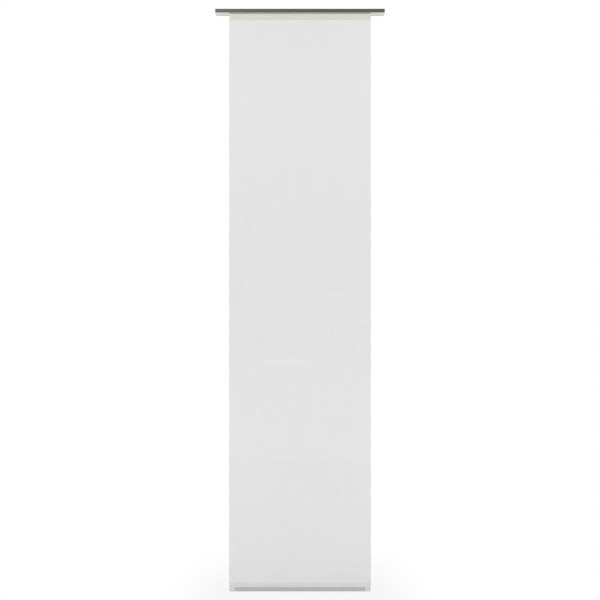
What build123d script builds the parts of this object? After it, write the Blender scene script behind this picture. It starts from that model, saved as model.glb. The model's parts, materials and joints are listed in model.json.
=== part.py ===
from build123d import *
import os

# Sliding panel curtain on a three-run ceiling track, in millimetres.
# X runs along the track, -Y faces the room, +Y faces the window, Z is up.
# The origin is the middle of the track's top face, which lies against the ceiling.
# The panel is modelled in the middle of its travel.

# Panel
panel_width = 600.0
panel_drop = 2450.0
panel_travel = 58.2
fabric_thickness = 0.6

# Track: one aluminium extrusion with a slotted run for each row of panels
run_count = 3
rail_height = 15.0
rail_wall = 1.2
rail_top = 1.6
rail_lip = 1.6
rail_edge_radius = 0.3
run_width = 10.0
slot_width = 5.0
slot_edge_radius = 0.8
chamber_width = 8.4

# Screw holes in the top of the outer runs, each over the slot that a driver reaches it through
screw_hole_diameter = 4.5
screw_hole_inset = 30.5

# Track end caps, whose plugs also stop the trolleys
cap_flange = 3.0
cap_edge_radius = 0.8
plug_depth = 20.0
plug_clearance = 0.1
stop_gap = 0.3

# Trolleys that carry the panel in the middle run
trolley_count = 4
trolley_inset = 30.0
trolley_length = 14.0
trolley_crown_length = 8.0
trolley_crown_rise = 3.4
trolley_corner_radius = 0.8
slot_clearance = 0.7
neck_length = 9.0
barb_reach = 1.2
barb_height = 3.6
barb_slit = 1.6
window_clearance = 0.1

# Wheels and axles
run_headroom = 2.7
wheel_clearance = 0.1
wheel_gap = 0.2
wheel_side_room = 1.1
wheel_rim = 1.2
wheel_hub_wall = 0.9
wheel_dish_depth = 0.5
wheel_chamfer = 0.3
axle_diameter = 2.0
axle_chamfer = 0.2
axle_seat_clearance = 0.01
axle_running_clearance = 0.03

# Panel carrier: an aluminium extrusion with a closed tube and a front plate
carrier_gap = 0.5
carrier_height = 26.0
carrier_depth = 9.4
carrier_wall = 1.2
carrier_return = 3.6
carrier_foot_room = 2.0
carrier_edge_radius = 0.4
carrier_cap_thickness = 1.5
carrier_cap_edge_radius = 0.5
carrier_plug_depth = 8.0

# The fabric hangs from loop tape, sewn behind it and reaching below the carrier, on hook tape on the carrier
fabric_set_down = 1.0
tape_margin = 0.5
loop_tape_overhang = 1.5
hook_tape_thickness = 1.6
loop_tape_thickness = 1.2

# Weight bar and its end caps, in the pocket along the bottom hem
bar_height = 15.5
bar_thickness = 2.5
bar_edge_radius = 0.5
bar_side_margin = 12.0
bar_cap_wall = 0.6
bar_cap_end = 4.0
bar_cap_overlap = 8.0
bar_cap_edge_radius = 0.9
bar_cap_clearance = 0.05
pocket_clearance = 0.3
pocket_corner_radius = 1.4
pocket_slope = 3.0
hem_overlap = 11.0

# How far a cut runs past the face that it goes through
overrun = 1.0

# Sizes of the track that follow from the values above
run_outer_width = run_width + 2 * rail_wall
run_pitch = run_outer_width + chamber_width
rail_depth = run_count * run_outer_width + (run_count - 1) * chamber_width
run_centres = [(i - (run_count - 1) / 2) * run_pitch for i in range(run_count)]
chamber_centres = [(a + b) / 2 for a, b in zip(run_centres, run_centres[1:])]
screw_row_pitch = run_centres[-1] - run_centres[0]
lip_top = rail_lip - rail_height

# The trolleys fit the slot and the run
trolley_thickness = slot_width - 2 * slot_clearance
wheel_radius = (rail_height - rail_top - rail_lip - run_headroom - wheel_clearance) / 2
wheel_width = (run_width - trolley_thickness) / 2 - wheel_gap - wheel_side_room
wheel_inner_face = trolley_thickness / 2 + wheel_gap
axle_height = lip_top + wheel_clearance + wheel_radius
axle_radius = axle_diameter / 2
trolley_reach = panel_width / 2 - trolley_inset
trolley_pitch = 2 * trolley_reach / (trolley_count - 1)
trolley_places = [i * trolley_pitch - trolley_reach for i in range(trolley_count)]

# The track is as long as the travel between its stops needs
stop_face = trolley_reach + trolley_length / 2 + panel_travel + stop_gap
rail_length = 2 * (stop_face + plug_depth)

# The carrier hangs close under the track
carrier_top = -rail_height - carrier_gap
carrier_bottom = carrier_top - carrier_height
carrier_length = panel_width - 2 * carrier_cap_thickness
carrier_front = -carrier_depth / 2
carrier_back = carrier_depth / 2
tube_bottom = carrier_top - 2 * carrier_wall - barb_height - carrier_foot_room

# Layers in front of the carrier, from the carrier outwards
hook_front = carrier_front - hook_tape_thickness
fabric_back = hook_front - loop_tape_thickness
fabric_front = fabric_back - fabric_thickness
fabric_top = carrier_top - fabric_set_down
fabric_bottom = fabric_top - panel_drop

# The weight bar's caps stand in the pocket with an even clearance
bar_cap_growth = bar_cap_wall + bar_cap_clearance
bar_front = fabric_back + pocket_clearance + bar_cap_growth
bar_back = bar_front + bar_thickness
bar_bottom = fabric_bottom + fabric_thickness + pocket_clearance + bar_cap_growth
bar_top = bar_bottom + bar_height
bar_length = panel_width - 2 * (bar_side_margin + bar_cap_end)
pocket_back = bar_back + bar_cap_growth + pocket_clearance
pocket_top = bar_top + bar_cap_growth + pocket_clearance
hem_bottom = pocket_top + pocket_slope
hem_top = hem_bottom + hem_overlap


def span(middle, size):
    """The low and high coordinate of a size centred on a middle."""
    return middle - size / 2, middle + size / 2


def block(x_span, y_span, z_span):
    """A box between pairs of low and high coordinates."""
    spans = (x_span, y_span, z_span)
    sizes = [high - low for low, high in spans]
    centre = [(high + low) / 2 for low, high in spans]
    return Pos(*centre) * Box(*sizes)


def rod(x, z, radius, y_span):
    """A cylinder along Y at a place in X and Z."""
    low, high = y_span
    return Pos(x, (low + high) / 2, z) * Cylinder(radius, high - low, rotation=(90, 0, 0))


def outermost_face(solid, side):
    """The face at the end of a solid that is furthest along X on the given side."""
    return solid.faces().sort_by(Axis.X)[-1 if side > 0 else 0]


def outward(side, start, length):
    """A span in X that starts at a distance from the middle and runs outwards on one side."""
    return sorted((side * start, side * (start + length)))


def track_rail():
    """Three slotted runs side by side, with a closed chamber between each two."""
    rail = block(span(0, rail_length), span(0, rail_depth), (-rail_height, 0))
    rail = fillet(rail.edges().filter_by(Axis.X), min(rail_edge_radius, rail_wall / 2))
    through = span(0, rail_length + 2 * overrun)
    for y in run_centres:
        rail -= block(through, span(y, run_width), (lip_top, -rail_top))
        rail -= block(through, span(y, slot_width), (-rail_height - overrun, lip_top + overrun))
    underside_edges = rail.edges().filter_by(Axis.X).group_by(Axis.Z)[0].sort_by(Axis.Y)
    rail = fillet(underside_edges[1:-1], min(slot_edge_radius, rail_lip / 2))
    for y in chamber_centres:
        rail -= block(through, span(y, chamber_width), (lip_top, -rail_top))
    for y in (run_centres[0], run_centres[-1]):
        for side in (-1, 1):
            x = side * (rail_length / 2 - screw_hole_inset)
            rail -= Pos(x, y, -rail_top / 2) * Cylinder(screw_hole_diameter / 2, rail_top + 2 * overrun)
    return rail


def track_end_cap(side):
    """A flange over the end of the track with a plug in each run."""
    flange = block(outward(side, rail_length / 2, cap_flange), span(0, rail_depth), (-rail_height, 0))
    cap = fillet(outermost_face(flange, side).edges(), min(cap_edge_radius, cap_flange / 2))
    for y in run_centres:
        cap += block(
            outward(side, rail_length / 2 - plug_depth, plug_depth),
            span(y, run_width - 2 * plug_clearance),
            (lip_top + plug_clearance, -rail_top - plug_clearance),
        )
    return cap


def trolley_frame(x):
    """A flat moulded plate: crown and axle bore in the run, stem in the slot, snap barbs in the carrier."""
    crown_half = trolley_crown_length / 2
    neck_half = neck_length / 2
    wall_underside = carrier_top - carrier_wall
    right_side = [
        (crown_half, axle_height + trolley_crown_rise),
        (trolley_length / 2, axle_height),
        (trolley_length / 2, carrier_top),
        (neck_half, carrier_top),
        (neck_half, wall_underside),
        (neck_half + barb_reach, wall_underside),
        (neck_half - barb_reach, wall_underside - barb_height),
    ]
    left_side = [(-across, z) for across, z in reversed(right_side)]
    outline = make_face(Plane.XZ * Polyline(*right_side, *left_side, close=True))
    frame = extrude(outline, amount=trolley_thickness / 2, both=True)
    upper_corners = [e for e in frame.edges().filter_by(Axis.Y) if e.center().Z >= axle_height]
    frame = fillet(upper_corners, trolley_corner_radius)
    across = span(0, trolley_thickness + 2 * overrun)
    frame -= rod(0, axle_height, axle_radius + axle_running_clearance, across)
    frame -= block(span(0, barb_slit), across, (wall_underside - barb_height - overrun, carrier_top))
    return Pos(x, 0, 0) * frame


def trolley_axle(x):
    """A steel pin through the trolley frame with a wheel on each end."""
    pin = rod(x, axle_height, axle_radius, span(0, 2 * (wheel_inner_face + wheel_width)))
    return chamfer(pin.edges().filter_by(GeomType.CIRCLE), axle_chamfer)


def trolley_wheel(x, side):
    """A moulded wheel with a dished outer face, on the front (-1) or rear (+1) end of its axle."""
    outer_face = wheel_inner_face + wheel_width
    wheel = rod(0, 0, wheel_radius, (wheel_inner_face, outer_face))
    wheel = chamfer(wheel.edges().filter_by(GeomType.CIRCLE), wheel_chamfer)
    dish_span = (outer_face - wheel_dish_depth, outer_face + overrun)
    dish = rod(0, 0, wheel_radius - wheel_rim, dish_span)
    dish -= rod(0, 0, axle_radius + wheel_hub_wall, dish_span)
    wheel -= dish
    wheel -= rod(0, 0, axle_radius + axle_seat_clearance, (wheel_inner_face - overrun, outer_face + overrun))
    half_turn = 0 if side > 0 else 180
    return Pos(x, 0, axle_height) * Rot(0, 0, half_turn) * wheel


def panel_carrier():
    """A closed tube with a window for each trolley, over a front plate with a stiffening return."""
    along = span(0, carrier_length)
    through = span(0, carrier_length + 2 * overrun)
    tube_inner_top = carrier_top - carrier_wall
    carrier = block(along, (carrier_front, carrier_back), (tube_bottom, carrier_top))
    carrier += block(along, (carrier_front, carrier_front + carrier_wall), (carrier_bottom, carrier_top))
    carrier += block(
        along,
        (carrier_front, carrier_front + carrier_return),
        (carrier_bottom, carrier_bottom + carrier_wall),
    )
    outer_corners = [
        e
        for e in carrier.edges().filter_by(Axis.X)
        if abs(e.center().Y - carrier_back) < carrier_edge_radius
    ]
    carrier = fillet(outer_corners, min(carrier_edge_radius, carrier_wall / 2))
    carrier -= block(
        through,
        (carrier_front + carrier_wall, carrier_back - carrier_wall),
        (tube_bottom + carrier_wall, tube_inner_top),
    )
    for x in trolley_places:
        carrier -= block(
            span(x, neck_length + 2 * window_clearance),
            span(0, trolley_thickness + 2 * window_clearance),
            (tube_inner_top - overrun, carrier_top + overrun),
        )
    return carrier


def carrier_end_cap(side):
    """A thin plate over the end of the carrier with a plug in its tube."""
    thickness = outward(side, carrier_length / 2, carrier_cap_thickness)
    cap = block(thickness, (carrier_front, carrier_back), (tube_bottom, carrier_top))
    cap += block(thickness, (carrier_front, carrier_front + carrier_return), (carrier_bottom, carrier_top))
    cap = fillet(
        outermost_face(cap, side).edges(), min(carrier_cap_edge_radius, carrier_cap_thickness / 2)
    )
    inset = carrier_wall + plug_clearance
    cap += block(
        outward(side, carrier_length / 2 - carrier_plug_depth, carrier_plug_depth),
        (carrier_front + inset, carrier_back - inset),
        (tube_bottom + inset, carrier_top - inset),
    )
    return cap


def tape(back, thickness, bottom):
    """A strip of touch-fastening tape as long as the panel is wide, in front of a plane in Y."""
    return block(span(0, panel_width), (back - thickness, back), (bottom, fabric_top - tape_margin))


def pocket_prism(outline, corner_radius):
    """An outline in Y and Z with its two lowest corners rounded, as long in X as the panel is wide."""
    face = make_face(Plane.YZ * Polyline(*outline, close=True))
    prism = extrude(face, amount=panel_width / 2, both=True)
    lowest = min(z for _, z in outline)
    bottom_edges = [e for e in prism.edges().filter_by(Axis.X) if e.center().Z < lowest + corner_radius]
    return fillet(bottom_edges, corner_radius)


def fabric_panel():
    """One length of cloth: a flat drop whose bottom is turned up at the back and sewn as a pocket."""
    pocket_outer = [
        (fabric_front, fabric_bottom),
        (pocket_back + fabric_thickness, fabric_bottom),
        (pocket_back + fabric_thickness, pocket_top),
        (fabric_back + fabric_thickness, hem_bottom),
        (fabric_back + fabric_thickness, hem_top),
        (fabric_front, hem_top),
    ]
    pocket_inner = [
        (fabric_back, fabric_bottom + fabric_thickness),
        (pocket_back, fabric_bottom + fabric_thickness),
        (pocket_back, pocket_top),
        (fabric_back, hem_bottom),
    ]
    cloth = block(span(0, panel_width), (fabric_front, fabric_back), (hem_bottom, fabric_top))
    cloth += pocket_prism(pocket_outer, pocket_corner_radius)
    cloth -= pocket_prism(pocket_inner, pocket_corner_radius - fabric_thickness)
    return cloth


def weight_bar():
    """A flat metal bar with rounded long edges."""
    bar = block(span(0, bar_length), (bar_front, bar_back), (bar_bottom, bar_top))
    return fillet(bar.edges().filter_by(Axis.X), bar_edge_radius)


def weight_bar_cap(side):
    """A moulded sleeve with a closed end that slips over the end of the weight bar."""
    cap = block(
        outward(side, bar_length / 2 - bar_cap_overlap, bar_cap_overlap + bar_cap_end),
        (bar_front - bar_cap_growth, bar_back + bar_cap_growth),
        (bar_bottom - bar_cap_growth, bar_top + bar_cap_growth),
    )
    cap = fillet(cap.edges().filter_by(Axis.X), bar_cap_edge_radius)
    cap = fillet(outermost_face(cap, side).edges(), bar_cap_edge_radius)
    cap -= block(
        outward(side, bar_length / 2 - bar_cap_overlap - overrun, bar_cap_overlap + overrun),
        (bar_front - bar_cap_clearance, bar_back + bar_cap_clearance),
        (bar_bottom - bar_cap_clearance, bar_top + bar_cap_clearance),
    )
    return cap


def all_parts():
    """Every sub-part by its name."""
    parts = {
        "track_rail": track_rail(),
        "panel_carrier": panel_carrier(),
        "hook_tape": tape(carrier_front, hook_tape_thickness, carrier_bottom),
        "loop_tape": tape(hook_front, loop_tape_thickness, carrier_bottom - loop_tape_overhang),
        "fabric_panel": fabric_panel(),
        "weight_bar": weight_bar(),
    }
    for side, word in ((-1, "left"), (1, "right")):
        parts[f"track_end_cap_{word}"] = track_end_cap(side)
        parts[f"carrier_end_cap_{word}"] = carrier_end_cap(side)
        parts[f"weight_bar_cap_{word}"] = weight_bar_cap(side)
    for number, x in enumerate(trolley_places, start=1):
        parts[f"trolley_frame_{number}"] = trolley_frame(x)
        parts[f"trolley_axle_{number}"] = trolley_axle(x)
        parts[f"trolley_wheel_front_{number}"] = trolley_wheel(x, -1)
        parts[f"trolley_wheel_rear_{number}"] = trolley_wheel(x, 1)
    return parts


os.makedirs("parts", exist_ok=True)
for name, shape in all_parts().items():
    export_step(shape, f"parts/{name}.step")
print(f"track: length {rail_length + 2 * cap_flange:.2f}, depth {rail_depth:.2f}")
print(f"wheels: radius {wheel_radius:.3f}, width {wheel_width:.3f}, axle height {axle_height:.3f}")
print(f"screw holes: {rail_length - 2 * screw_hole_inset:.2f} apart along X, {screw_row_pitch:.2f} along Y")
print(f"fabric: front {fabric_front:.2f}, top {fabric_top:.2f}, bottom {fabric_bottom:.2f}")
print(f"pocket: back {pocket_back + fabric_thickness:.2f}, hem from {hem_bottom:.2f} to {hem_top:.2f}")
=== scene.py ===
import json
import math

import bmesh
import bpy
import numpy as np
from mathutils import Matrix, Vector


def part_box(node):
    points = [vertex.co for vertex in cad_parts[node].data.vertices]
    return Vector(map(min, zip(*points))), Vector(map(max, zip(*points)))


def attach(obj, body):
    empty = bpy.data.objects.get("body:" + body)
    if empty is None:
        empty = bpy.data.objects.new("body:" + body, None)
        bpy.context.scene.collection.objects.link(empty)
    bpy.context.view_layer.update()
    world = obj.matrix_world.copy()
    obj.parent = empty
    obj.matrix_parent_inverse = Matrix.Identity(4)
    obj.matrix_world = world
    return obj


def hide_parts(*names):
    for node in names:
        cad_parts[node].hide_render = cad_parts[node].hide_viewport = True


# Sliding panel curtain: the sheer cloth, its tapes and stitching, and the finish of every piece.
# Metres, in the frame of the CAD parts: X along the track, -Y towards the room, Z up to the ceiling.

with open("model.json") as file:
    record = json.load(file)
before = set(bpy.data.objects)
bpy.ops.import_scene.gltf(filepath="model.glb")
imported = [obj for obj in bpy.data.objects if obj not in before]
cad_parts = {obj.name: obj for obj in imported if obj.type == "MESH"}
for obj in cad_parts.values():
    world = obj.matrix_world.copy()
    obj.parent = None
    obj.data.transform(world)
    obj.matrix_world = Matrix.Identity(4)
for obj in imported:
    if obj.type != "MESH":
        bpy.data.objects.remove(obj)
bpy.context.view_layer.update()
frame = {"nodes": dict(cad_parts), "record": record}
MM = 0.001

# Places taken from the CAD parts
cloth_low, cloth_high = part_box("fabric_panel")
hook_low, hook_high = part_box("hook_tape")
loop_low, loop_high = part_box("loop_tape")
_, bar_cap_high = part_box("weight_bar_cap_left")

# The cloth is drawn as its middle layer, half the thickness of the CAD solid inside its faces.
# Its cut top edge stands level with the carrier's top, 1 mm above the solid's, and its hem ends 5.5 mm
# higher than the solid's.
CLOTH_THICKNESS = 0.6 * MM
TOP_EDGE_RISE = 1.0 * MM
POCKET_CORNER = 1.1 * MM
POCKET_ROOM = 0.3 * MM
POCKET_SLOPE = 3.0 * MM
HEM_OVERLAP = 16.5 * MM
HEM_SEAM_INSET = 2.5 * MM
half_width = cloth_high.x
front_y = cloth_low.y + CLOTH_THICKNESS / 2
back_y = cloth_high.y - CLOTH_THICKNESS / 2
hem_y = front_y + CLOTH_THICKNESS
top_z = cloth_high.z + TOP_EDGE_RISE
foot_z = cloth_low.z + CLOTH_THICKNESS / 2
pocket_z = bar_cap_high.z + POCKET_ROOM
hem_top_z = pocket_z + POCKET_SLOPE + HEM_OVERLAP
seam_z = hem_top_z - HEM_SEAM_INSET

# Rows of the cloth's grid down the drop, round the pocket and near each fold line, and its columns
DROP_ROWS, POCKET_ROWS, FOLD_ROWS, CLOTH_COLUMNS = 241, 50, 25, 181
POCKET_MARGIN = 30 * MM
FOLD_MARGIN = 90 * MM

# Upright ripples: depth, wavelength, phase, and drift of the phase down the drop
RIPPLES = ((0.9 * MM, 370 * MM, 0.6, 1.1), (0.5 * MM, 230 * MM, -1.3, 2.3))
EDGE_CURL = 1.4 * MM

# Fold lines left from the packing: height, how far it stands forward, reach up and down, span in X
CREASES = (
    (-1494 * MM, 1.0 * MM, 22 * MM, (-145 * MM, 30 * MM)),
    (-1915 * MM, 0.8 * MM, 60 * MM, (-400 * MM, 400 * MM)),
)
CREASE_FADE = 60 * MM

# Puckers along the pocket seam, and the slower wave that bends them
PUCKER_DEPTH = 0.16 * MM
PUCKER_PITCH = 17 * MM
PUCKER_BEND = 83 * MM
PUCKER_REACH = 14 * MM

# Beads along the heat-cut edges
EDGE_BEAD = 0.5 * MM
EDGE_BEAD_INSET = 0.2 * MM
EDGE_BEAD_SWELL = 0.06
EDGE_BEAD_ROWS = 400

# Stitches, which stand a little proud of the cloth's middle layer
STITCH_PITCH = 3.0 * MM
STITCH_LENGTH = 2.5 * MM
STITCH_SLANT = 0.18 * MM
STITCH_PROUD = CLOTH_THICKNESS / 4
THREAD = 0.45 * MM
TAPE_SEAM_INSET = 2.5 * MM

# Tapes
LOOP_NAP = 0.25 * MM
LOOP_EDGE = 0.35 * MM
HOOK_BACKING = 0.6 * MM
HOOK_EDGE = 0.25 * MM
TAPE_CREST = math.radians(50)

# Share of the voile that is thread: between and at its slubs, and what the melted edges and fold lines add
PLAIN_COVER, SLUB_COVER = 0.676, 0.741
# Fold covers are painted light: a thinner weave as highlight on one fold, a denser one as shade below the
# other
MELTED_COVER, FOLD_HIGHLIGHT_COVER, FOLD_SHADE_COVER = 0.14, -0.12, 0.035
# Share of the light on a thread that comes out on its other side
THREAD_GLOW = 0.42

# Studio
FLOOR_Z = cloth_low.z - 10 * MM
FLOOR_RADIUS = 2.2
FLOOR_WHITE = 0.82
FILL_LIGHT = 0.3
DIM_ROOM, WINDOW = 0.148, 0.44
LAMP_ASIDE, LAMP_Y = 1.06, -1.2
HIGH_LAMP_Z, LOW_LAMP_Z = -0.15, -2.0
HIGH_LAMP_SIZE, LOW_LAMP_SIZE, BACK_LAMP_SIZE = (0.8, 0.6), (0.8, 0.8), (1.0, 0.02)
HIGH_WATTS, LOW_WATTS, BACK_WATTS = 12.1, 11.3, 0.2
BACK_LAMP_PLACE = (0, 1.0, 0.01)
BACK_LAMP_GRID = math.radians(7)
CAMERA_PLACE = (0.0, -4.360, -1.2299)
CAMERA_LENS = 61.565


def paint(code):
    """sRGB hex to linear RGBA: c / 12.92 up to 0.04045, else ((c + 0.055) / 1.055) to the power 2.4."""
    srgb = np.array([int(code[i : i + 2], 16) for i in (1, 3, 5)]) / 255
    linear = np.where(srgb <= 0.04045, srgb / 12.92, ((srgb + 0.055) / 1.055) ** 2.4)
    return (*linear.tolist(), 1.0)


def add(tree, kind, inputs=(), **settings):
    """Adds a node with its settings; each input takes a value, or a link where it is given an output.

    A Mix node's two colours are its inputs 6 and 7 and its output 2; its two numbers are inputs 2 and 3.
    """
    node = tree.nodes.new("ShaderNode" + kind)
    for name, value in settings.items():
        setattr(node, name, value)
    for socket, value in dict(inputs).items():
        if isinstance(value, bpy.types.NodeSocket):
            tree.links.new(value, node.inputs[socket])
        else:
            node.inputs[socket].default_value = value
    return node


def new_tree(owner):
    """Turns on the nodes of a material or world and empties its tree."""
    owner.use_nodes = True
    owner.node_tree.nodes.clear()
    return owner.node_tree


def new_finish(name):
    """A material, its empty tree, and the Object coordinates of the piece that wears it."""
    finish = bpy.data.materials.new(name)
    tree = new_tree(finish)
    return finish, tree, add(tree, "TexCoord").outputs["Object"]


def smoothstep(t):
    """0 below 0 and 1 above 1, with 3t^2 - 2t^3 between."""
    t = np.clip(t, 0, 1)
    return t * t * (3 - 2 * t)


# Shapes


def surface(name, points, wrap=False, uv=None):
    """A mesh over grids of points, shaped (..., rows, columns, 3): a quad between each four neighbours.

    wrap joins the last column to the first. Rows that shrink to a point are closed by merging them.
    """
    rows, columns = points.shape[-3:-1]
    index = np.arange(points.size // 3).reshape(-1, rows, columns)
    if wrap:
        index = np.concatenate([index, index[..., :1]], axis=2)
    corners = (index[:, :-1, :-1], index[:, :-1, 1:], index[:, 1:, 1:], index[:, 1:, :-1])
    quads = np.stack(corners, axis=-1).reshape(-1, 4)
    mesh = bpy.data.meshes.new(name)
    mesh.from_pydata(points.reshape(-1, 3), [], quads)
    if uv is not None:
        mesh.uv_layers.new(name="cut").data.foreach_set("uv", uv.reshape(-1, 2)[quads.ravel()].ravel())
    if wrap:
        shell = bmesh.new()
        shell.from_mesh(mesh)
        bmesh.ops.remove_doubles(shell, verts=shell.verts, dist=1e-7)
        bmesh.ops.recalc_face_normals(shell, faces=shell.faces)
        shell.to_mesh(mesh)
        shell.free()
    mesh.shade_smooth()
    return mesh


def piece(mesh, finish, replaces=()):
    """An object on the panel body with its finish; it may stand for CAD nodes, which it hides."""
    obj = bpy.data.objects.new(mesh.name, mesh)
    bpy.context.scene.collection.objects.link(obj)
    mesh.materials.append(finish)
    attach(obj, "panel")
    if replaces:
        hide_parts(*replaces)
    return obj


def slack(x, z):
    """How far the hanging cloth stands behind its flat plane at x and z.

    Two shallow upright ripples, sines in x, and a curl back at the side edges, the ninth power of x, fade
    out as sin^2 towards both ends. Each fold line stands forward as exp(-distance / reach). Along the
    pocket seam the sewing pulls small puckers, a sine in x that fades as exp(-distance / reach).
    """
    drop_share = (top_z - z) / (top_z - foot_z)
    free = np.sin(np.pi * np.clip(drop_share, 0, 1)) ** 2
    wave = EDGE_CURL * np.abs(x / half_width) ** 9
    for depth, wavelength, phase, drift in RIPPLES:
        wave = wave + depth * np.sin(2 * np.pi * x / wavelength + phase + drift * drop_share)
    out = free * wave
    for height, forward, reach, (left, right) in CREASES:
        span = smoothstep((x - left) / CREASE_FADE + 0.5) * smoothstep((right - x) / CREASE_FADE + 0.5)
        out = out - forward * span * np.exp(-np.abs(z - height) / reach)
    pucker = np.sin(2 * np.pi * x / PUCKER_PITCH + 2 * np.sin(2 * np.pi * x / PUCKER_BEND))
    return out + PUCKER_DEPTH * pucker * np.exp(-np.abs(z - seam_z) / PUCKER_REACH)


def cloth_path():
    """The cloth's line in Y and Z, top edge to hem edge, as points and the length up to each.

    Straight down the front, a quarter circle at each bottom corner, up the back of the pocket, in over
    the bar by a smoothstep, and up the hem against the front layer.
    """
    turn = np.linspace(0, np.pi / 2, 7)
    ease = np.linspace(0, 1, 13)
    front_turn = np.pi + turn
    back_turn = 1.5 * np.pi + turn
    y = np.concatenate([
        [front_y],
        front_y + POCKET_CORNER * (1 + np.cos(front_turn)),
        back_y - POCKET_CORNER * (1 - np.cos(back_turn)),
        back_y + (hem_y - back_y) * smoothstep(ease),
        [hem_y],
    ])
    z = np.concatenate([
        [top_z],
        foot_z + POCKET_CORNER * (1 + np.sin(front_turn)),
        foot_z + POCKET_CORNER * (1 + np.sin(back_turn)),
        pocket_z + POCKET_SLOPE * ease,
        [hem_top_z],
    ])
    length = np.concatenate([[0], np.cumsum(np.hypot(np.diff(y), np.diff(z)))])
    return y, z, length


def cloth_panel():
    """The cloth: its path carried across the width, with the slack added in Y. UV is metres of the cut cloth.

    Rows are closer near the fold lines and in the pocket than down the plain drop.
    """
    y, z, length = cloth_path()
    drop = top_z - foot_z
    share = np.linspace(-1, 1, FOLD_ROWS)
    near_fold = FOLD_MARGIN * np.sign(share) * share**2
    rows = np.unique(np.round(np.concatenate([
        np.linspace(0, drop, DROP_ROWS),
        length,
        np.linspace(drop - POCKET_MARGIN, length[-1], POCKET_ROWS),
        *(top_z - crease[0] + near_fold for crease in CREASES),
    ]), 5))
    across = np.linspace(-half_width, half_width, CLOTH_COLUMNS)
    row_y = np.interp(rows, length, y)[:, None]
    row_z = np.interp(rows, length, z)[:, None]
    points = np.stack(np.broadcast_arrays(across, row_y + slack(across, row_z), row_z), axis=-1)
    uv = np.stack(np.broadcast_arrays(across + half_width, rows[:, None]), axis=-1)
    return surface("cloth_panel", points, uv=uv), length[-1]


def melted_edges():
    """The beads that the hot knife leaves along the cut edges.

    A small circle carried down the cloth's path at both sides, and one carried across the top. The radius
    swells and thins along the bead by two sines, and closes at its ends as sqrt(1 - t^60).
    """
    y, z, length = cloth_path()
    rows = np.unique(np.concatenate([np.linspace(0, length[-1], EDGE_BEAD_ROWS), length]))
    path_y, path_z = np.interp(rows, length, y), np.interp(rows, length, z)
    lean = np.arctan2(np.gradient(path_y), -np.gradient(path_z))[:, None]
    around = np.linspace(0, 2 * np.pi, 6, endpoint=False)
    slow, quick = 23 * MM, 9 * MM
    swell = 1 + EDGE_BEAD_SWELL * (np.sin(rows / slow) + np.sin(rows / quick))
    radius = (EDGE_BEAD / 2 * swell * np.sqrt(1 - np.linspace(-1, 1, len(rows)) ** 60))[:, None]
    beads = []
    for edge in (-half_width, half_width):
        x = edge - np.sign(edge) * EDGE_BEAD_INSET + radius * np.cos(around)
        across = radius * np.sin(around)
        bead_y = (path_y + slack(edge, path_z))[:, None] + across * np.cos(lean)
        bead_z = path_z[:, None] + across * np.sin(lean)
        beads.append(np.stack([x, bead_y, bead_z], axis=-1))
    top_x = np.linspace(-half_width, half_width, len(rows))[:, None]
    top_y = front_y + slack(top_x, top_z) + radius * np.cos(around)
    beads.append(np.stack(np.broadcast_arrays(top_x, top_y, top_z + radius * np.sin(around)), axis=-1))
    return surface("melted_edges", np.stack(beads), wrap=True)


def stitch_rows(name, rows):
    """Stitches in rows, each row a height z and a depth y(x): spindles whose radius goes as sqrt(1 - t^2)."""
    count = round(2 * half_width / STITCH_PITCH)
    middle = (np.arange(count) + 0.5) * STITCH_PITCH - half_width
    t = np.linspace(-1, 1, 6)[:, None]
    around = np.linspace(0, 2 * np.pi, 6, endpoint=False)
    radius = THREAD / 2 * np.sqrt(1 - t**2)
    copies = []
    for height, depth in rows:
        x = middle[:, None, None] + STITCH_LENGTH / 2 * t
        y = depth(middle)[:, None, None] + radius * np.cos(around)
        z = height + STITCH_SLANT * t + radius * np.sin(around)
        copies.append(np.stack(np.broadcast_arrays(x, y, z), axis=-1))
    return surface(name, np.concatenate(copies), wrap=True)


def tape_strip(low, high, edge, count, stations):
    """A strip along X: a rectangle in Y and Z with round edges, closed at both ends by a fan.

    The outline is the rounded rectangle's corners joined by straight runs, in even steps of its length.
    """
    turn = np.linspace(0, np.pi / 2, 4)
    quarters = [(high.y - edge, high.z - edge, 0), (low.y + edge, high.z - edge, 1),
                (low.y + edge, low.z + edge, 2), (high.y - edge, low.z + edge, 3)]
    y = np.concatenate([cy + edge * np.cos(turn + q * np.pi / 2) for cy, _, q in quarters])
    z = np.concatenate([cz + edge * np.sin(turn + q * np.pi / 2) for _, cz, q in quarters])
    y, z = np.append(y, y[0]), np.append(z, z[0])
    length = np.concatenate([[0], np.cumsum(np.hypot(np.diff(y), np.diff(z)))])
    steps = np.linspace(0, length[-1], count, endpoint=False)
    ring = np.stack([np.interp(steps, length, y), np.interp(steps, length, z)], axis=-1)
    points = np.empty((stations + 2, count, 3))
    points[1:-1, :, 0] = np.linspace(low.x, high.x, stations)[:, None]
    points[1:-1, :, 1:] = ring
    points[0] = np.append(low.x, ring.mean(axis=0))
    points[-1] = np.append(high.x, ring.mean(axis=0))
    return points


def loop_tape_nap():
    """The loop tape: a strip whose rear face has a nap of small tufts, crossed sines bent by slower ones."""
    points = tape_strip(loop_low, loop_high, LOOP_EDGE, count=84, stations=401)
    x, y, z = points[..., 0], points[..., 1], points[..., 2]
    pitch_x, bend_x = 3.7 * MM, 11.3 * MM
    pitch_z, bend_z = 3.1 * MM, 9.1 * MM
    tuft = np.sin(2 * np.pi * x / pitch_x + 2 * np.sin(2 * np.pi * z / bend_z))
    tuft = tuft * np.sin(2 * np.pi * z / pitch_z + 2 * np.sin(2 * np.pi * x / bend_x))
    rear = smoothstep((y - loop_low.y) / (loop_high.y - loop_low.y) * 2 - 1)
    points[..., 1] = y - rear * LOOP_NAP * (1 + tuft)
    mesh = surface("loop_tape_nap", points, wrap=True)
    mesh.set_sharp_from_angle(angle=TAPE_CREST)
    return mesh


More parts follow.
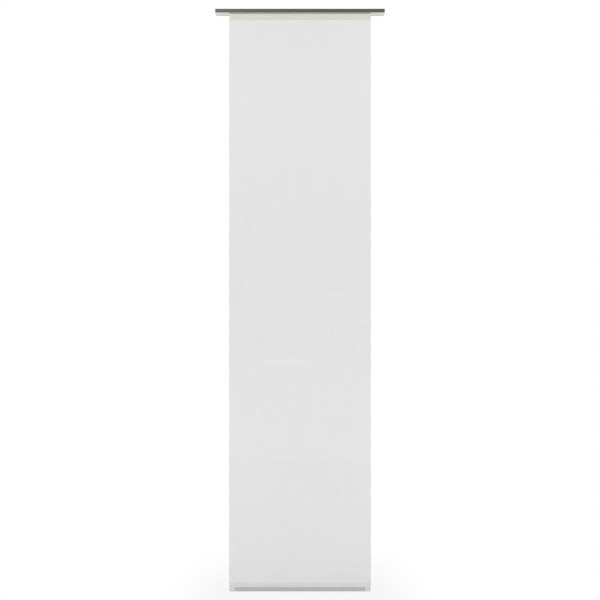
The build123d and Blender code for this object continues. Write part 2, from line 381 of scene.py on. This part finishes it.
def hook_tape_backing():
    """The hook tape's woven backing: a thin strip on the carrier's front plate."""
    low = Vector((hook_low.x, hook_high.y - HOOK_BACKING, hook_low.z))
    points = tape_strip(low, hook_high, HOOK_EDGE, count=56, stations=61)
    mesh = surface("hook_tape_backing", points, wrap=True)
    mesh.set_sharp_from_angle(angle=TAPE_CREST)
    return mesh


def hook_tape_hooks():
    """Rows of small hooks: a stem straight out of the backing, then half a circle down, tapering to its tip.

    Real hooks stand 1.6 mm apart; these stand 3.1 mm apart and are as much thicker.
    """
    pitch, stem, bend, thick = 3.1 * MM, 0.55 * MM, 0.38 * MM, 0.17 * MM
    t = np.array([0, 1, 1.5, 2, 2.5, 3.0])
    turn = np.clip(t - 1, 0, 2) * np.pi / 2
    out = np.minimum(t, 1) * stem + bend * np.sin(turn)
    down = bend * (1 - np.cos(turn))
    radius = thick * np.array([1.25, 1, 1, 0.9, 0.7, 0])
    lean = np.arctan2(np.gradient(down), np.gradient(out))
    around = np.linspace(0, 2 * np.pi, 5, endpoint=False)
    side = radius[:, None] * np.cos(around)
    shape_x = radius[:, None] * np.sin(around)
    shape_y = -(out[:, None] - side * np.sin(lean)[:, None])
    shape_z = -(down[:, None] + side * np.cos(lean)[:, None])
    columns = np.arange(hook_low.x + pitch, hook_high.x - pitch / 2, pitch)
    lines = np.arange(hook_low.z + pitch / 2, hook_high.z - pitch / 4, pitch)
    place_x, place_z = (grid[..., None, None] for grid in np.meshgrid(columns, lines))
    place_x = place_x + pitch / 2 * (np.arange(len(lines)) % 2)[:, None, None, None]
    root_y = hook_high.y - HOOK_BACKING
    points = np.stack(np.broadcast_arrays(place_x + shape_x, root_y + shape_y, place_z + shape_z), axis=-1)
    return surface("hook_tape_hooks", points, wrap=True)


# Finishes


def sheer_polyester_voile():
    """Plain-woven polyester voile with heat-cut sides.

    The open weave lets the backdrop through and glows a little from behind; slub threads make it denser in
    faint streaks along and across, and the melted cut gives each side edge a denser line. A painted highlight
    thins the weave along one fold line, and a painted shade makes it denser below the other. Slubs are 0.6 mm
    wide on the real cloth and are drawn 1 to 5 mm wide, or they would not show.
    """
    finish = bpy.data.materials.new("sheer_polyester_voile")
    tree = new_tree(finish)
    cut = add(tree, "TexCoord").outputs["UV"]
    threads = []
    for width, length in ((5 * MM, 260 * MM), (180 * MM, 5 * MM)):
        place = add(tree, "Mapping", {"Vector": cut, "Scale": (1 / width, 1 / length, 1)})
        noise = add(tree, "TexNoise", {
            "Vector": place.outputs[0], "Scale": 1, "Detail": 3, "Roughness": 0.75,
        }, noise_dimensions="2D")
        threads.append(add(tree, "MapRange", {
            "Value": noise.outputs["Fac"], "From Min": 0.5, "From Max": 0.68,
        }))
    slubs = add(tree, "Math", {0: threads[0].outputs[0], 1: threads[1].outputs[0]}, operation="ADD")
    thick = add(tree, "MapRange", {"Value": slubs.outputs[0], "From Max": 1.5})
    woven = add(tree, "MapRange", {"Value": thick.outputs[0], "To Min": PLAIN_COVER, "To Max": SLUB_COVER})

    place = add(tree, "SeparateXYZ", {"Vector": cut})
    off_middle = add(tree, "Math", {0: place.outputs["X"], 1: half_width}, operation="SUBTRACT")
    off_middle = add(tree, "Math", {0: off_middle.outputs[0]}, operation="ABSOLUTE")
    melted = add(tree, "MapRange", {
        "Value": off_middle.outputs[0], "From Min": half_width - 2.6 * MM, "From Max": half_width - 1.2 * MM,
        "To Min": 0.0, "To Max": MELTED_COVER,
    })

    # Painted highlight: the weave is thinned along the upper fold line, so more white backdrop shows through
    # there
    upper_fold, lower_fold = (top_z - crease[0] for crease in CREASES)
    fold_left, fold_right = (half_width + x for x in CREASES[0][3])
    from_fold = add(tree, "Math", {0: place.outputs["Y"], 1: upper_fold}, operation="SUBTRACT")
    from_fold = add(tree, "Math", {0: from_fold.outputs[0]}, operation="ABSOLUTE")
    highlight_band = add(tree, "MapRange", {
        "Value": from_fold.outputs[0], "From Min": 4 * MM, "From Max": 14 * MM,
        "To Min": FOLD_HIGHLIGHT_COVER, "To Max": 0.0,
    }, interpolation_type="SMOOTHSTEP")
    from_left = add(tree, "MapRange", {
        "Value": place.outputs["X"], "From Min": fold_left - 15 * MM, "From Max": fold_left + 15 * MM,
    }, interpolation_type="SMOOTHSTEP")
    to_right = add(tree, "MapRange", {
        "Value": place.outputs["X"], "From Min": fold_right - 70 * MM, "From Max": fold_right + 20 * MM,
        "To Min": 1.0, "To Max": 0.0,
    }, interpolation_type="SMOOTHSTEP")
    span = add(tree, "Math", {0: from_left.outputs[0], 1: to_right.outputs[0]}, operation="MULTIPLY")
    painted_fold_highlight = add(tree, "Math", {0: highlight_band.outputs[0], 1: span.outputs[0]}, operation="MULTIPLY")
    # Painted shade: from the lower fold line down to the foot the weave is denser, a small step darker at the
    # fold
    painted_fold_shade = add(tree, "MapRange", {
        "Value": place.outputs["Y"], "From Min": lower_fold - 3 * MM, "From Max": lower_fold + 3 * MM,
        "To Min": 0.0, "To Max": FOLD_SHADE_COVER,
    }, interpolation_type="SMOOTHSTEP")
    cover = woven
    for change in (melted, painted_fold_highlight, painted_fold_shade):
        cover = add(tree, "Math", {0: cover.outputs[0], 1: change.outputs[0]}, operation="ADD")

    shade = add(tree, "Mix", {
        0: thick.outputs[0], 6: paint("#f3f4f3"), 7: paint("#eff0ef"),
    }, data_type="RGBA")
    relief = add(tree, "Bump", {"Height": thick.outputs[0], "Strength": 0.25, "Distance": 0.05 * MM})
    lit = add(tree, "BsdfPrincipled", {
        "Base Color": shade.outputs[2], "Roughness": 0.75, "IOR": 1.5, "Specular IOR Level": 0.3,
        "Sheen Weight": 0.1, "Sheen Roughness": 0.4, "Normal": relief.outputs[0],
    })
    glow = add(tree, "BsdfTranslucent", {"Color": shade.outputs[2], "Normal": relief.outputs[0]})
    thread = add(tree, "MixShader", {0: THREAD_GLOW, 1: lit.outputs[0], 2: glow.outputs[0]})
    gaps = add(tree, "BsdfTransparent")
    cloth = add(tree, "MixShader", {0: cover.outputs[0], 1: gaps.outputs[0], 2: thread.outputs[0]})
    add(tree, "OutputMaterial", {"Surface": cloth.outputs[0]})
    return finish


def anodised_aluminium():
    """Extruded aluminium, etched and anodised in natural silver.

    A satin metal that blurs what it mirrors, with die lines along its length and a faint cloudiness. Die
    lines are some 0.1 mm apart and are drawn 0.8 mm apart.
    """
    finish, tree, place = new_finish("anodised_aluminium")
    drawn = add(tree, "Mapping", {
        "Vector": place, "Scale": (1 / (900 * MM), 1 / (0.8 * MM), 1 / (0.8 * MM)),
    })
    lines = add(tree, "TexNoise", {"Vector": drawn.outputs[0], "Scale": 1, "Detail": 3})
    cloudy = add(tree, "Mapping", {
        "Vector": place, "Scale": (1 / (150 * MM), 1 / (30 * MM), 1 / (30 * MM)),
    })
    clouds = add(tree, "TexNoise", {"Vector": cloudy.outputs[0], "Scale": 1, "Detail": 2})
    shade = add(tree, "Mix", {
        0: clouds.outputs["Fac"], 6: paint("#dcddd3"), 7: paint("#e3e4d9"),
    }, data_type="RGBA")
    rough = add(tree, "MapRange", {
        "Value": lines.outputs["Fac"], "From Min": 0.3, "From Max": 0.7, "To Min": 0.15, "To Max": 0.21,
    })
    relief = add(tree, "Bump", {"Height": lines.outputs["Fac"], "Strength": 0.1, "Distance": 0.01 * MM})
    metal = add(tree, "BsdfPrincipled", {
        "Base Color": shade.outputs[2], "Metallic": 1.0, "Roughness": rough.outputs[0],
        "Normal": relief.outputs[0],
    })
    add(tree, "OutputMaterial", {"Surface": metal.outputs[0]})
    return finish


def silver_lacquered_abs():
    """Moulded ABS sprayed with satin silver lacquer.

    Metal flakes in the lacquer mirror softly, a little greyer than the anodised rail, with a fine sparkle.
    Flakes are 0.05 mm across and are drawn 0.6 mm across.
    """
    finish, tree, place = new_finish("silver_lacquered_abs")
    flakes = add(tree, "TexVoronoi", {"Vector": place, "Scale": 1 / (0.6 * MM)})
    sparkle = add(tree, "SeparateColor", {"Color": flakes.outputs["Color"]})
    sprayed = add(tree, "TexNoise", {"Vector": place, "Scale": 1 / (4 * MM), "Detail": 2})
    shade = add(tree, "Mix", {
        0: sparkle.outputs[0], 6: paint("#cfd0c7"), 7: paint("#d5d6cd"),
    }, data_type="RGBA")
    rough = add(tree, "MapRange", {"Value": sparkle.outputs[1], "To Min": 0.32, "To Max": 0.38})
    relief = add(tree, "Bump", {"Height": sprayed.outputs["Fac"], "Strength": 0.2, "Distance": 0.03 * MM})
    lacquer = add(tree, "BsdfPrincipled", {
        "Base Color": shade.outputs[2], "Metallic": 0.9, "Roughness": rough.outputs[0],
        "Normal": relief.outputs[0],
    })
    add(tree, "OutputMaterial", {"Surface": lacquer.outputs[0]})
    return finish


def zinc_plated_steel():
    """Rolled steel strip with a zinc coating.

    A dull grey metal with a soft crystalline mottle and rolling lines along the bar. The crystals are about
    1 mm across and are drawn 4 mm across.
    """
    finish, tree, place = new_finish("zinc_plated_steel")
    crystals = add(tree, "TexVoronoi", {"Vector": place, "Scale": 1 / (4 * MM), "Randomness": 1.0})
    grain = add(tree, "SeparateColor", {"Color": crystals.outputs["Color"]})
    drawn = add(tree, "Mapping", {"Vector": place, "Scale": (1 / (120 * MM), 1 / (1 * MM), 1 / (1 * MM))})
    lines = add(tree, "TexNoise", {"Vector": drawn.outputs[0], "Scale": 1, "Detail": 2})
    shade = add(tree, "Mix", {
        0: grain.outputs[0], 6: paint("#9b9c93"), 7: paint("#a8a99f"),
    }, data_type="RGBA")
    rough = add(tree, "MapRange", {"Value": grain.outputs[0], "To Min": 0.36, "To Max": 0.5})
    relief = add(tree, "Bump", {"Height": lines.outputs["Fac"], "Strength": 0.2, "Distance": 0.03 * MM})
    metal = add(tree, "BsdfPrincipled", {
        "Base Color": shade.outputs[2], "Metallic": 1.0, "Roughness": rough.outputs[0],
        "Normal": relief.outputs[0],
    })
    add(tree, "OutputMaterial", {"Surface": metal.outputs[0]})
    return finish


def ground_steel():
    """Centreless-ground steel pin.

    A bright metal with fine rings round its axis, which runs along Y. The rings are drawn 0.25 mm apart.
    """
    finish, tree, place = new_finish("ground_steel")
    ringed = add(tree, "Mapping", {"Vector": place, "Scale": (1 / (4 * MM), 1 / (0.25 * MM), 1 / (4 * MM))})
    rings = add(tree, "TexNoise", {"Vector": ringed.outputs[0], "Scale": 1, "Detail": 2})
    shade = add(tree, "Mix", {
        0: rings.outputs["Fac"], 6: paint("#b4b5b4"), 7: paint("#d2d3d2"),
    }, data_type="RGBA")
    rough = add(tree, "MapRange", {"Value": rings.outputs["Fac"], "To Min": 0.15, "To Max": 0.32})
    metal = add(tree, "BsdfPrincipled", {
        "Base Color": shade.outputs[2], "Metallic": 1.0, "Roughness": rough.outputs[0],
    })
    add(tree, "OutputMaterial", {"Surface": metal.outputs[0]})
    return finish


def white_powder_coat():
    """Matt white powder coat on extruded aluminium.

    Warm white with a faint orange peel, 1.5 mm from dimple to dimple.
    """
    finish, tree, place = new_finish("white_powder_coat")
    peel = add(tree, "TexNoise", {"Vector": place, "Scale": 1 / (1.5 * MM), "Detail": 1})
    drift = add(tree, "TexNoise", {"Vector": place, "Scale": 1 / (60 * MM), "Detail": 2})
    shade = add(tree, "Mix", {
        0: drift.outputs["Fac"], 6: paint("#f0f0eb"), 7: paint("#f4f4f0"),
    }, data_type="RGBA")
    rough = add(tree, "MapRange", {"Value": peel.outputs["Fac"], "To Min": 0.42, "To Max": 0.56})
    relief = add(tree, "Bump", {"Height": peel.outputs["Fac"], "Strength": 0.2, "Distance": 0.04 * MM})
    coat = add(tree, "BsdfPrincipled", {
        "Base Color": shade.outputs[2], "Roughness": rough.outputs[0], "IOR": 1.52,
        "Normal": relief.outputs[0],
    })
    add(tree, "OutputMaterial", {"Surface": coat.outputs[0]})
    return finish


def moulded_plastic(name, dark, light, rough_low, rough_high, grain, ior):
    """Injection-moulded plastic: two close shades in slow flow clouds, and a fine grain from the mould."""
    finish, tree, place = new_finish(name)
    flow = add(tree, "TexNoise", {"Vector": place, "Scale": 1 / (9 * MM), "Detail": 2, "Distortion": 0.6})
    pitted = add(tree, "TexNoise", {"Vector": place, "Scale": 1 / grain, "Detail": 2})
    shade = add(tree, "Mix", {0: flow.outputs["Fac"], 6: paint(dark), 7: paint(light)}, data_type="RGBA")
    rough = add(tree, "MapRange", {"Value": pitted.outputs["Fac"], "To Min": rough_low, "To Max": rough_high})
    relief = add(tree, "Bump", {"Height": pitted.outputs["Fac"], "Strength": 0.25, "Distance": 0.05 * MM})
    solid = add(tree, "BsdfPrincipled", {
        "Base Color": shade.outputs[2], "Roughness": rough.outputs[0], "IOR": ior,
        "Normal": relief.outputs[0],
    })
    add(tree, "OutputMaterial", {"Surface": solid.outputs[0]})
    return finish


def woven_nylon_tape(name, dark, light, nap):
    """Woven nylon tape: warp ribs along it and weft across it, with a looser or tighter nap.

    It looks creamy and quite matt. The ribs are 0.5 mm apart on the real tape and are drawn 1.6 mm apart.
    """
    finish, tree, place = new_finish(name)
    wave = {"Vector": place, "Scale": 1 / (1.6 * MM) * math.pi / 10, "Distortion": 0.4, "Detail": 1}
    ribs = add(tree, "TexWave", wave, wave_type="BANDS", bands_direction="Z")
    picks = add(tree, "TexWave", wave, wave_type="BANDS", bands_direction="X")
    weave = add(tree, "Math", {0: ribs.outputs["Fac"], 1: picks.outputs["Fac"]}, operation="MULTIPLY")
    fuzz = add(tree, "TexNoise", {"Vector": place, "Scale": 1 / nap, "Detail": 3})
    height = add(tree, "Math", {0: weave.outputs[0], 1: fuzz.outputs["Fac"]}, operation="ADD")
    shade = add(tree, "Mix", {0: fuzz.outputs["Fac"], 6: paint(dark), 7: paint(light)}, data_type="RGBA")
    relief = add(tree, "Bump", {"Height": height.outputs[0], "Strength": 0.5, "Distance": 0.15 * MM})
    rough = add(tree, "MapRange", {"Value": weave.outputs[0], "To Min": 0.7, "To Max": 0.85})
    tape = add(tree, "BsdfPrincipled", {
        "Base Color": shade.outputs[2], "Roughness": rough.outputs[0], "IOR": 1.53, "Sheen Weight": 0.2,
        "Normal": relief.outputs[0],
    })
    add(tree, "OutputMaterial", {"Surface": tape.outputs[0]})
    return finish


def polyester_thread():
    """Twisted polyester sewing thread: slanting plies, drawn 0.5 mm apart, that catch the light softly."""
    finish, tree, place = new_finish("polyester_thread")
    plies = add(tree, "TexWave", {
        "Vector": place, "Scale": 1 / (0.5 * MM) * math.pi / 10, "Distortion": 0.3,
    }, wave_type="BANDS", bands_direction="DIAGONAL")
    shade = add(tree, "Mix", {
        0: plies.outputs["Fac"], 6: paint("#e4e5e1"), 7: paint("#f3f3f0"),
    }, data_type="RGBA")
    rough = add(tree, "MapRange", {"Value": plies.outputs["Fac"], "To Min": 0.7, "To Max": 0.5})
    relief = add(tree, "Bump", {"Height": plies.outputs["Fac"], "Strength": 0.4, "Distance": 0.05 * MM})
    thread = add(tree, "BsdfPrincipled", {
        "Base Color": shade.outputs[2], "Roughness": rough.outputs[0], "IOR": 1.54, "Sheen Weight": 0.15,
        "Normal": relief.outputs[0],
    })
    add(tree, "OutputMaterial", {"Surface": thread.outputs[0]})
    return finish


def melted_polyester():
    """Polyester that the hot knife has melted and set again.

    Glassy and a little greyer than the cloth, with a fine ripple.
    """
    finish, tree, place = new_finish("melted_polyester")
    drops = add(tree, "TexNoise", {"Vector": place, "Scale": 1 / (6 * MM), "Detail": 2})
    shade = add(tree, "Mix", {
        0: drops.outputs["Fac"], 6: paint("#d4d4d2"), 7: paint("#e2e2e0"),
    }, data_type="RGBA")
    rough = add(tree, "MapRange", {"Value": drops.outputs["Fac"], "To Min": 0.35, "To Max": 0.55})
    relief = add(tree, "Bump", {"Height": drops.outputs["Fac"], "Strength": 0.3, "Distance": 0.05 * MM})
    bead = add(tree, "BsdfPrincipled", {
        "Base Color": shade.outputs[2], "Roughness": rough.outputs[0], "IOR": 1.57,
        "Normal": relief.outputs[0],
    })
    add(tree, "OutputMaterial", {"Surface": bead.outputs[0]})
    return finish


# The CAD parts keep their shapes and get these finishes, by the record's material slots
hook_tape_nylon = woven_nylon_tape("hook_tape_nylon", "#dddcc8", "#e4e3d1", 1.6 * MM)
loop_tape_nylon = woven_nylon_tape("loop_tape_nylon", "#d6d5c0", "#dddcc8", 1.0 * MM)
voile = sheer_polyester_voile()
sewing_thread = polyester_thread()
finishes = {
    "anodised_aluminium": anodised_aluminium(),
    "white_coated_aluminium": white_powder_coat(),
    "silver_plastic": silver_lacquered_abs(),
    # Natural acetal: milky white, waxy and rather smooth
    "trolley_plastic": moulded_plastic("natural_acetal", "#dedfdb", "#e8e8e4", 0.3, 0.42, 0.8 * MM, 1.48),
    # Nylon wheels: a little yellower, polished by running
    "wheel_plastic": moulded_plastic("white_nylon", "#d8d8ce", "#e3e2d8", 0.28, 0.4, 0.5 * MM, 1.53),
    "bright_steel": ground_steel(),
    "plated_steel": zinc_plated_steel(),
    # White polypropylene sleeves: soft sheen with a fine grain
    "white_plastic": moulded_plastic("white_polypropylene", "#d8d9d4", "#e2e2de", 0.4, 0.55, 0.7 * MM, 1.49),
    "hook_tape": hook_tape_nylon,
    "loop_tape": loop_tape_nylon,
    "sheer_cloth": voile,
}
for part in frame["record"]["subparts"]:
    for material_slot in frame["nodes"][part["node"]].material_slots:
        material_slot.material = finishes[part["material_slot"]]

# Cloth, tapes and stitching
cloth_mesh, cut_length = cloth_panel()
cloth = piece(cloth_mesh, voile, ["fabric_panel"])
loops = piece(loop_tape_nap(), loop_tape_nylon, ["loop_tape"])
piece(hook_tape_backing(), hook_tape_nylon, ["hook_tape"])
piece(hook_tape_hooks(), hook_tape_nylon)
tape_seams = piece(stitch_rows("tape_seams", [
    (z, lambda x, z=z: front_y + slack(x, z) - STITCH_PROUD)
    for z in (loop_high.z - TAPE_SEAM_INSET, loop_low.z + TAPE_SEAM_INSET)
]), sewing_thread)
pocket_seam = piece(stitch_rows("pocket_seam", [
    (seam_z, lambda x: front_y + slack(x, seam_z) - STITCH_PROUD),
    (seam_z, lambda x: hem_y + slack(x, seam_z) + STITCH_PROUD),
]), sewing_thread)
beads = piece(melted_edges(), melted_polyester())


# Studio: pale floor, soft lamps, white backdrop


def studio_floor():
    """A round pale floor that faces up: r out to its radius, the angle all the way round, at one height."""
    r = np.linspace(0, FLOOR_RADIUS, 12)[:, None]
    angle = np.linspace(0, 2 * np.pi, 96, endpoint=False)
    points = np.stack(np.broadcast_arrays(r * np.cos(angle), r * np.sin(angle), FLOOR_Z), axis=-1)
    mesh = surface("studio_floor", points, wrap=True)
    mesh.flip_normals()
    return mesh


def pale_paint():
    """Matt pale floor paint that fades into the white backdrop with distance and keeps soft shadows.

    Only the upper face shows, so that the floor doesn't veil the panel's foot from below.
    """
    finish, tree, place = new_finish("pale_floor_paint")
    along = add(tree, "SeparateXYZ", {"Vector": place})
    aside = add(tree, "Math", {0: along.outputs["X"]}, operation="ABSOLUTE")
    beside = add(tree, "MapRange", {
        "Value": aside.outputs[0], "From Min": 0.3, "From Max": 0.6, "To Min": 1.0, "To Max": 0.0,
    }, interpolation_type="SMOOTHSTEP")
    onward = add(tree, "Math", {0: along.outputs["Y"], 1: 0.3}, operation="ADD")
    onward = add(tree, "Math", {0: onward.outputs[0]}, operation="ABSOLUTE")
    before = add(tree, "MapRange", {
        "Value": onward.outputs[0], "From Max": 1.05, "To Min": 1.0, "To Max": 0.0,
    })
    under = add(tree, "NewGeometry").outputs["Backfacing"]
    upper_face = add(tree, "Math", {0: 1.0, 1: under}, operation="SUBTRACT")
    near = add(tree, "Math", {0: beside.outputs[0], 1: before.outputs[0]}, operation="MULTIPLY")
    near = add(tree, "Math", {0: near.outputs[0], 1: upper_face.outputs[0]}, operation="MULTIPLY")
    mottle = add(tree, "TexNoise", {"Vector": place, "Scale": 1 / (40 * MM), "Detail": 2})
    shade = add(tree, "Mix", {
        0: mottle.outputs["Fac"], 6: paint("#cfcfcd"), 7: paint("#d3d3d1"),
    }, data_type="RGBA")
    matt = add(tree, "BsdfDiffuse", {"Color": shade.outputs[2]})
    white = add(tree, "Emission", {"Color": (1, 1, 1, 1), "Strength": 1.0})
    path = add(tree, "LightPath")
    seen = add(tree, "Math", {
        0: path.outputs["Is Camera Ray"], 1: path.outputs["Is Glossy Ray"],
    }, operation="MAXIMUM")
    whiten = add(tree, "Math", {0: seen.outputs[0], 1: FLOOR_WHITE}, operation="MULTIPLY")
    near_floor = add(tree, "MixShader", {0: whiten.outputs[0], 1: matt.outputs[0], 2: white.outputs[0]})
    gone = add(tree, "BsdfTransparent")
    floor = add(tree, "MixShader", {0: near.outputs[0], 1: gone.outputs[0], 2: near_floor.outputs[0]})
    add(tree, "OutputMaterial", {"Surface": floor.outputs[0]})
    return finish


def studio_world():
    """White for the camera, and an even fill for what is lit.

    Metal mirrors white behind the panel, a grey ceiling, and in front a dim room with a window at its left.
    """
    world = bpy.data.worlds.new("studio")
    world.cycles.sampling_method = "NONE"
    tree = new_tree(world)
    direction = add(tree, "SeparateXYZ", {"Vector": add(tree, "TexCoord").outputs["Generated"]})
    window = add(tree, "MapRange", {
        "Value": direction.outputs["X"], "From Min": -0.16, "From Max": -0.06,
        "To Min": WINDOW, "To Max": DIM_ROOM,
    }, interpolation_type="SMOOTHSTEP")
    depth = add(tree, "MapRange", {
        "Value": direction.outputs["Y"], "From Min": -0.5, "From Max": 0.2,
        "To Min": window.outputs[0], "To Max": 1.0,
    }, interpolation_type="SMOOTHSTEP")
    ceiling = add(tree, "MapRange", {
        "Value": direction.outputs["Z"], "From Min": 0.15, "From Max": 0.7, "To Min": 1.0, "To Max": 0.5,
    }, interpolation_type="SMOOTHSTEP")
    room = add(tree, "Math", {0: depth.outputs[0], 1: ceiling.outputs[0]}, operation="MULTIPLY")
    path = add(tree, "LightPath")
    mirrored = add(tree, "Mix", {
        0: path.outputs["Is Glossy Ray"], 2: FILL_LIGHT, 3: room.outputs[0],
    }, data_type="FLOAT")
    seen = add(tree, "Mix", {
        0: path.outputs["Is Camera Ray"], 2: mirrored.outputs[0], 3: 1.0,
    }, data_type="FLOAT")
    light = add(tree, "Background", {"Color": (1, 1, 1, 1), "Strength": seen.outputs[0]})
    add(tree, "OutputWorld", {"Surface": light.outputs[0]})
    bpy.context.scene.world = world


def softbox(name, place, size, watts, spread=math.pi):
    """An area lamp of a width and height at a place, turned level to the middle, that metal does not mirror.

    A spread below half a turn is a grid on the lamp, which narrows its beam.
    """
    lamp = bpy.data.lights.new(name, "AREA")
    lamp.shape = "RECTANGLE"
    lamp.size, lamp.size_y = size
    lamp.energy = watts
    lamp.spread = spread
    obj = bpy.data.objects.new(name, lamp)
    obj.location = place
    aim = Vector((0, 0, place[2]))
    obj.rotation_euler = (aim - Vector(place)).to_track_quat("-Z", "Y").to_euler()
    obj.visible_glossy = False
    bpy.context.scene.collection.objects.link(obj)


floor = bpy.data.objects.new("studio_floor", studio_floor())
bpy.context.scene.collection.objects.link(floor)
floor.data.materials.append(pale_paint())
studio_world()
for side, x in (("left", -LAMP_ASIDE), ("right", LAMP_ASIDE)):
    softbox(f"softbox_high_{side}", (x, LAMP_Y, HIGH_LAMP_Z), HIGH_LAMP_SIZE, HIGH_WATTS)
    softbox(f"softbox_low_{side}", (x, LAMP_Y, LOW_LAMP_Z), LOW_LAMP_SIZE, LOW_WATTS)
# A strip lamp with a narrow grid, just above the track, keeps the carrier's back from falling dark
softbox("softbox_back", BACK_LAMP_PLACE, BACK_LAMP_SIZE, BACK_WATTS, BACK_LAMP_GRID)

camera = bpy.data.objects.new("camera", bpy.data.cameras.new("camera"))
camera.data.sensor_width = 36
camera.data.lens = CAMERA_LENS
camera.location = CAMERA_PLACE
camera.rotation_euler = (math.pi / 2, 0, 0)
bpy.context.scene.collection.objects.link(camera)
bpy.context.scene.camera = camera
bpy.context.scene.view_settings.view_transform = "Standard"
